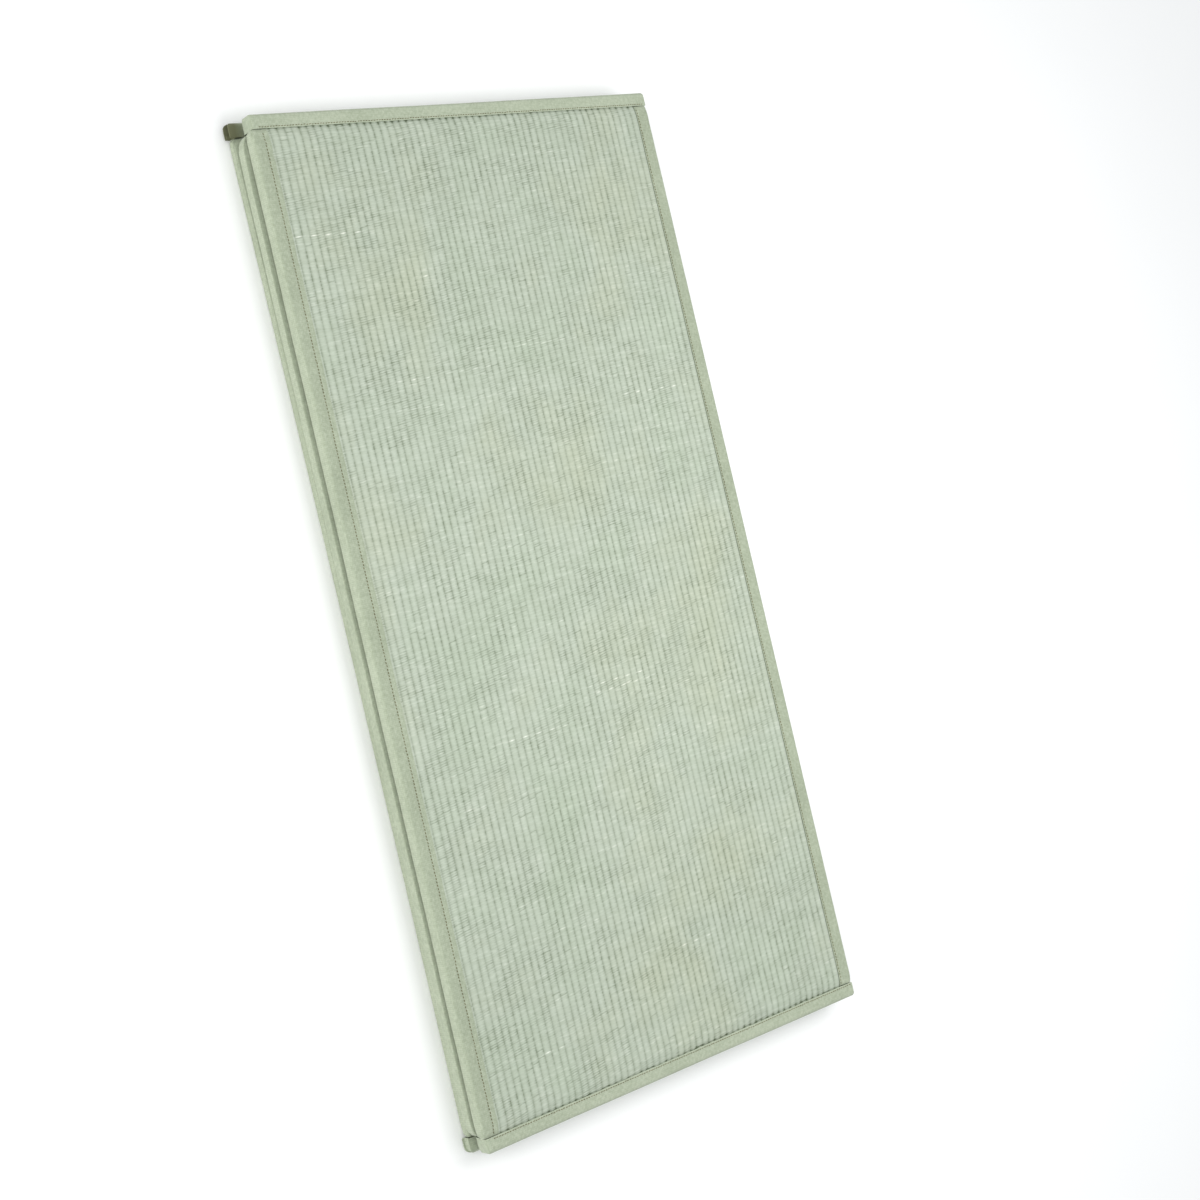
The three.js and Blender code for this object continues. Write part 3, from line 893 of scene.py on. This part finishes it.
def cloth_finish(name, dark, mid, pale, thread_mm, weave_depth):
    finish, tree = new_finish(name)
    place = add(tree, "ShaderNodeTexCoord").outputs["Object"]
    heights = []
    for direction in ("X", "Y", "Z"):
        heights.append(
            add(
                tree, "ShaderNodeTexWave", {"Vector": place},
                {"Scale": per_metre(thread_mm) / 20 * math.pi, "Distortion": 0.6,
                 "Detail": 1.0, "Detail Scale": 0.4},
                wave_type="BANDS", bands_direction=direction,
            ).outputs["Fac"]
        )
    pair = add(tree, "ShaderNodeMath", {0: heights[0], 1: heights[1]}, operation="MULTIPLY")
    weave = add(
        tree, "ShaderNodeMath", {0: pair.outputs[0], 1: heights[2]}, operation="ADD"
    ).outputs[0]
    slub = add(
        tree, "ShaderNodeTexNoise", {"Vector": place},
        {"Scale": per_metre(SLUB_MM), "Detail": 4.0, "Roughness": 0.65},
    ).outputs["Fac"]
    fade = add(
        tree, "ShaderNodeTexNoise", {"Vector": place}, {"Scale": per_metre(FADE_MM), "Detail": 2.0}
    ).outputs["Fac"]
    mixed = add(
        tree, "ShaderNodeMath", {0: weave, 2: slub}, {1: 0.16}, operation="MULTIPLY_ADD"
    ).outputs[0]
    level = add(
        tree, "ShaderNodeMath", {0: fade, 2: mixed}, {1: 0.3}, operation="MULTIPLY_ADD"
    ).outputs[0]
    plain = add(
        tree, "ShaderNodeValToRGB", {"Fac": level},
        stops=[(0.45, dark), (0.75, mid), (1.05, pale)],
    ).outputs[0]
    # Painted shade: only the head's side tape has this attribute, and it darkens the lower free
    # end to olive; everywhere else it reads as zero.
    shade = add(tree, "ShaderNodeAttribute", attribute_name="painted_shade").outputs["Fac"]
    colour = add(
        tree, "ShaderNodeMix", {0: shade, 6: plain}, {7: linear("#66684d")}, data_type="RGBA"
    ).outputs[2]
    bump = add(
        tree, "ShaderNodeBump", {"Height": mixed},
        {"Strength": 0.5, "Distance": weave_depth / 1000},
    ).outputs["Normal"]
    surface = add(
        tree, "ShaderNodeBsdfPrincipled", {"Base Color": colour, "Normal": bump},
        {"Roughness": 0.85, "Specular IOR Level": 0.2, "Sheen Weight": 0.2,
         "Sheen Roughness": 0.5},
    )
    add(tree, "ShaderNodeOutputMaterial", {"Surface": surface.outputs["BSDF"]})
    print("finish:", name)
    return finish


tape = cloth_finish("cotton_tape", "#8e9781", "#9fa891", "#afb7a1", 1.3, 0.25)
backing = cloth_finish("backing_felt", "#a0a894", "#aab29f", "#b4bba9", 2.2, 0.3)
thread = cloth_finish("cotton_thread", "#554e2f", "#635c3a", "#726b4a", 0.9, 0.15)

# %% [markdown]
# ## Dress the mat
# Each piece gets its finish and rides on the one body of the mat, and the solid that it
# stands for, where there is one, is hidden.


def dress(piece, finish, slot, *nodes):
    piece.data.materials.clear()
    piece.data.materials.append(finish)
    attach(piece, "root")
    if nodes:
        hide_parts(*nodes)


for node, piece in pads.items():
    dress(piece, backing, "rush", node)
dress(cover, rush, "rush", "panel_top")
for node, (piece, cut) in bands.items():
    dress(piece, tape, "tape", node)
for node, piece in end_tapes.items():
    dress(piece, tape, "tape", node)
for node, piece in side_tapes.items():
    dress(piece, tape, "tape", node)
dress(stitches, thread, "tape")

# %% [markdown]
# ## Floor and light
# The mat lies on a plain pale floor. A broad soft light hangs overhead and another comes from the
# side of the visible fold, so that the rounded edges catch it. The air of the studio lights the
# rest, a little cooler than the lamps.

# %% Floor and light
clear_selection()
bpy.ops.mesh.primitive_plane_add(size=14)
floor = bpy.context.object
floor.name = floor.data.name = "studio_floor"
floor_paint, tree = new_finish("floor_paint")
grain = add(
    tree, "ShaderNodeTexNoise", {"Vector": add(tree, "ShaderNodeTexCoord").outputs["Object"]},
    {"Scale": 3.0, "Detail": 2.0},
).outputs["Fac"]
paint_colour = add(
    tree, "ShaderNodeValToRGB", {"Fac": grain}, stops=[(0.3, "#fbfbfa"), (0.7, "#fcfcfb")]
)
paint = add(
    tree, "ShaderNodeBsdfPrincipled", {"Base Color": paint_colour.outputs[0]},
    {"Roughness": 0.9, "Specular IOR Level": 0.1},
)
add(tree, "ShaderNodeOutputMaterial", {"Surface": paint.outputs["BSDF"]})
floor.data.materials.append(floor_paint)


def soft_light(name, place, aim, size, power):
    clear_selection()
    bpy.ops.object.light_add(type="AREA", location=place)
    lamp = bpy.context.object
    lamp.name = name
    lamp.data.shape = "RECTANGLE"
    lamp.data.size, lamp.data.size_y = size
    lamp.data.energy = power
    direction = np.array(aim, float) - np.array(place, float)
    turn = math.atan2(direction[1], direction[0])
    lean = math.acos(-direction[2] / np.linalg.norm(direction))
    lamp.rotation_euler = (0, -lean, turn)
    return lamp


soft_light("overhead_light", (0.4, 0.0, 1.4), (0.15, 0, 0), (1.2, 0.9), 9.7)
soft_light("fold_side_light", (-3.5, 0.4, 1.5), (0, 0, 0.1), (3.0, 2.0), 72)
world = bpy.data.worlds.new("studio_air")
bpy.context.scene.world = world
world.use_nodes = True
air = world.node_tree.nodes["Background"]
air.inputs["Color"].default_value = (0.96, 0.98, 1.0, 1)
air.inputs["Strength"].default_value = 0.82
bpy.context.scene.view_settings.view_transform = "Standard"

# %% [markdown]
# ## Camera
# The camera looks down on the face from the side of the visible fold and is rolled, at the angle
# that shows the mat as the photograph does. A small lens shift keeps the mat's long edges as
# steep as they are there.

# %% Camera
clear_selection()
bpy.ops.object.camera_add(
    location=(-1.926, 0.0144, 2.5032),
    rotation=[math.radians(v) for v in (11.781, -37.88, -16.762)],
)
camera = bpy.context.object
camera.name = "photo_camera"
camera.data.lens = 66.4
camera.data.sensor_width = 36.0
camera.data.shift_y = -0.07
camera.data.clip_end = 60
bpy.context.scene.camera = camera
print("camera:", camera.name, "with a lens of", camera.data.lens, "mm")
